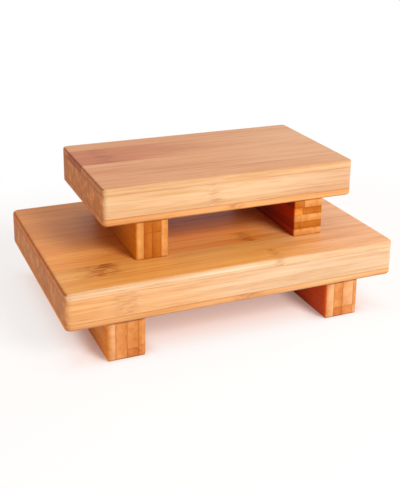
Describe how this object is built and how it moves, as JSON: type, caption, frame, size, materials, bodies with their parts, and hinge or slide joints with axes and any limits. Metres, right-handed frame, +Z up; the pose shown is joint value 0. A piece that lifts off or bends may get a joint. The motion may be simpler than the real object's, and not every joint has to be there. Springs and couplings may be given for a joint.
{
  "type": "serving board",
  "caption": "Laminated bamboo sushi serving boards, flat decks on block legs, the small board stacked on the large one and free to lift off.",
  "frame": {"origin": "on the ground, below the middle of the large board's deck", "axes": "+X along the decks' length to the viewer's right, +Y to the back, +Z up through the serving faces"},
  "size_m": [0.27, 0.18, 0.12],
  "materials": {
    "pale_bamboo": "oiled satin",
    "honey_bamboo": "oiled satin",
    "amber_bamboo": "oiled satin",
    "brown_bamboo": "oiled satin",
    "dowel_beech": "raw"
  },
  "bodies": {
    "large_board": {"large_top_strip_1": "honey_bamboo", "large_top_strip_2": "amber_bamboo", "large_top_strip_3": "honey_bamboo", "large_top_strip_4": "amber_bamboo", "large_top_strip_5": "honey_bamboo", "large_top_strip_6": "honey_bamboo", "large_top_strip_7": "amber_bamboo", "large_top_strip_8": "honey_bamboo", "large_top_strip_9": "honey_bamboo", "large_bottom_strip_1": "honey_bamboo", "large_bottom_strip_2": "honey_bamboo", "large_bottom_strip_3": "honey_bamboo", "large_bottom_strip_4": "honey_bamboo", "large_bottom_strip_5": "honey_bamboo", "large_bottom_strip_6": "honey_bamboo", "large_bottom_strip_7": "honey_bamboo", "large_bottom_strip_8": "honey_bamboo", "large_bottom_strip_9": "honey_bamboo", "large_core_front_strip": "honey_bamboo", "large_core_back_strip": "honey_bamboo", "large_core_inner_strips": "honey_bamboo", "large_left_leg_layer_1": "pale_bamboo", "large_left_leg_layer_2": "honey_bamboo", "large_left_leg_layer_3": "honey_bamboo", "large_left_leg_layer_4": "pale_bamboo", "large_right_leg_layer_1": "pale_bamboo", "large_right_leg_layer_2": "honey_bamboo", "large_right_leg_layer_3": "pale_bamboo", "large_right_leg_layer_4": "honey_bamboo", "large_leg_dowels": "dowel_beech"},
    "small_board": {"small_top_strip_1": "honey_bamboo", "small_top_strip_2": "honey_bamboo", "small_top_strip_3": "honey_bamboo", "small_top_strip_4": "amber_bamboo", "small_top_strip_5": "amber_bamboo", "small_top_strip_6": "honey_bamboo", "small_bottom_strip_1": "honey_bamboo", "small_bottom_strip_2": "honey_bamboo", "small_bottom_strip_3": "honey_bamboo", "small_bottom_strip_4": "honey_bamboo", "small_bottom_strip_5": "honey_bamboo", "small_bottom_strip_6": "honey_bamboo", "small_core_front_strip": "honey_bamboo", "small_core_back_strip": "honey_bamboo", "small_core_inner_strips": "honey_bamboo", "small_left_leg_layer_1": "pale_bamboo", "small_left_leg_layer_2": "brown_bamboo", "small_left_leg_layer_3": "brown_bamboo", "small_left_leg_layer_4": "pale_bamboo", "small_right_leg_layer_1": "amber_bamboo", "small_right_leg_layer_2": "brown_bamboo", "small_right_leg_layer_3": "amber_bamboo", "small_right_leg_layer_4": "brown_bamboo", "small_right_leg_layer_5": "honey_bamboo", "small_leg_dowels": "dowel_beech"}
  },
  "joints": [
    {"name": "small_board_lift", "type": "slide", "parent": "large_board", "child": "small_board", "axis": [0, 0, 1], "range_m": [0, 0.08]}
  ]
}
